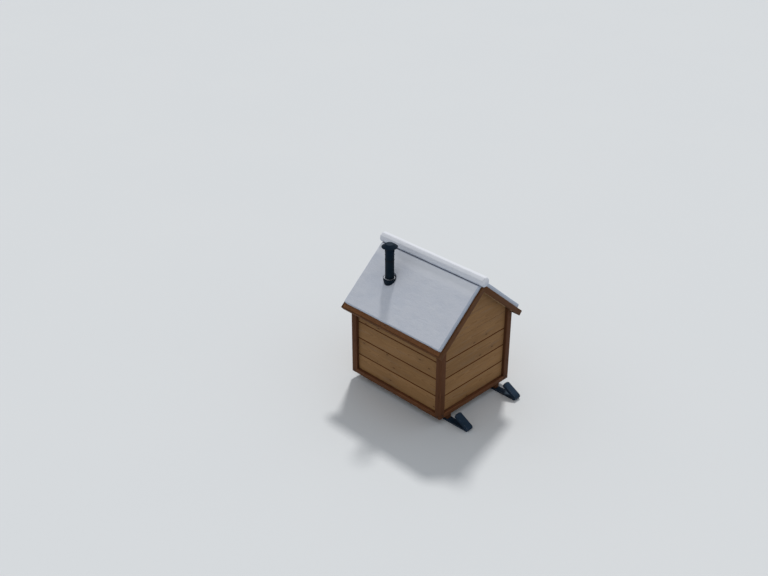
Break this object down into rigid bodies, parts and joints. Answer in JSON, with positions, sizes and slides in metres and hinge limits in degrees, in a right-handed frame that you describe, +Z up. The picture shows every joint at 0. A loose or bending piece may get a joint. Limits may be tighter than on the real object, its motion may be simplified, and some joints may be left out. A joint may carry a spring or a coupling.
{
  "type": "ice fishing hut",
  "caption": "Plank ice fishing hut on two sled runners, with a steep gable roof under packed snow, a black flue pipe with a rain cap, and a plain boarded door.",
  "frame": {"origin": "on the ice, under the middle of the hut and its runners' noses taken together", "axes": "+Z up, +X along the ridge towards the blank end, -X towards the door end, -Y towards the side with the flue"},
  "size_m": [3.005, 2.3674, 3.0722],
  "materials": {
    "wall_boards": "stained, weathered",
    "frame_timber": "dark stained",
    "roof_edge_timber": "dark stained",
    "sawn_timber": "rough sawn",
    "door_boards": "stained, weathered",
    "door_trim": "dark stained",
    "packed_snow": "packed snow, matte",
    "flue_steel": "matte stove black",
    "runner_steel": "blue-black, scuffed",
    "black_ironwork": "black iron"
  },
  "bodies": {
    "root": {"wall_flue_side": "wall_boards", "wall_plain_side": "wall_boards", "wall_blank_end": "wall_boards", "wall_door_end_flue_side": "wall_boards", "wall_door_end_plain_side": "wall_boards", "wall_over_door": "wall_boards", "corner_post_door_end_flue_side": "frame_timber", "corner_post_door_end_plain_side": "frame_timber", "corner_post_blank_end_flue_side": "frame_timber", "corner_post_blank_end_plain_side": "frame_timber", "sill_flue_side": "frame_timber", "sill_plain_side": "frame_timber", "sill_door_end": "frame_timber", "sill_blank_end": "frame_timber", "skid_beam_flue_side": "frame_timber", "skid_beam_plain_side": "frame_timber", "barge_board_door_end_flue_side": "roof_edge_timber", "barge_board_door_end_plain_side": "roof_edge_timber", "barge_board_blank_end_flue_side": "roof_edge_timber", "barge_board_blank_end_plain_side": "roof_edge_timber", "eave_fascia_flue_side": "roof_edge_timber", "eave_fascia_plain_side": "roof_edge_timber", "roof_deck_flue_side": "roof_edge_timber", "roof_deck_plain_side": "roof_edge_timber", "ridge_beam": "sawn_timber", "middle_tie": "sawn_timber", "well_frame": "sawn_timber", "floor": "sawn_timber", "wall_plate_flue_side": "sawn_timber", "wall_plate_plain_side": "sawn_timber", "rafters_flue_side": "sawn_timber", "rafters_plain_side": "sawn_timber", "door_leaf": "door_boards", "door_frame": "door_trim", "snow_ridge_roll": "packed_snow", "snow_blanket_flue_side": "packed_snow", "snow_blanket_plain_side": "packed_snow", "flue_pipe": "flue_steel", "flue_collar": "flue_steel", "rain_cap": "flue_steel", "runner_flue_side": "runner_steel", "runner_plain_side": "runner_steel", "strap_hinges": "black_ironwork", "door_handle": "black_ironwork"}
  },
  "joints": []
}
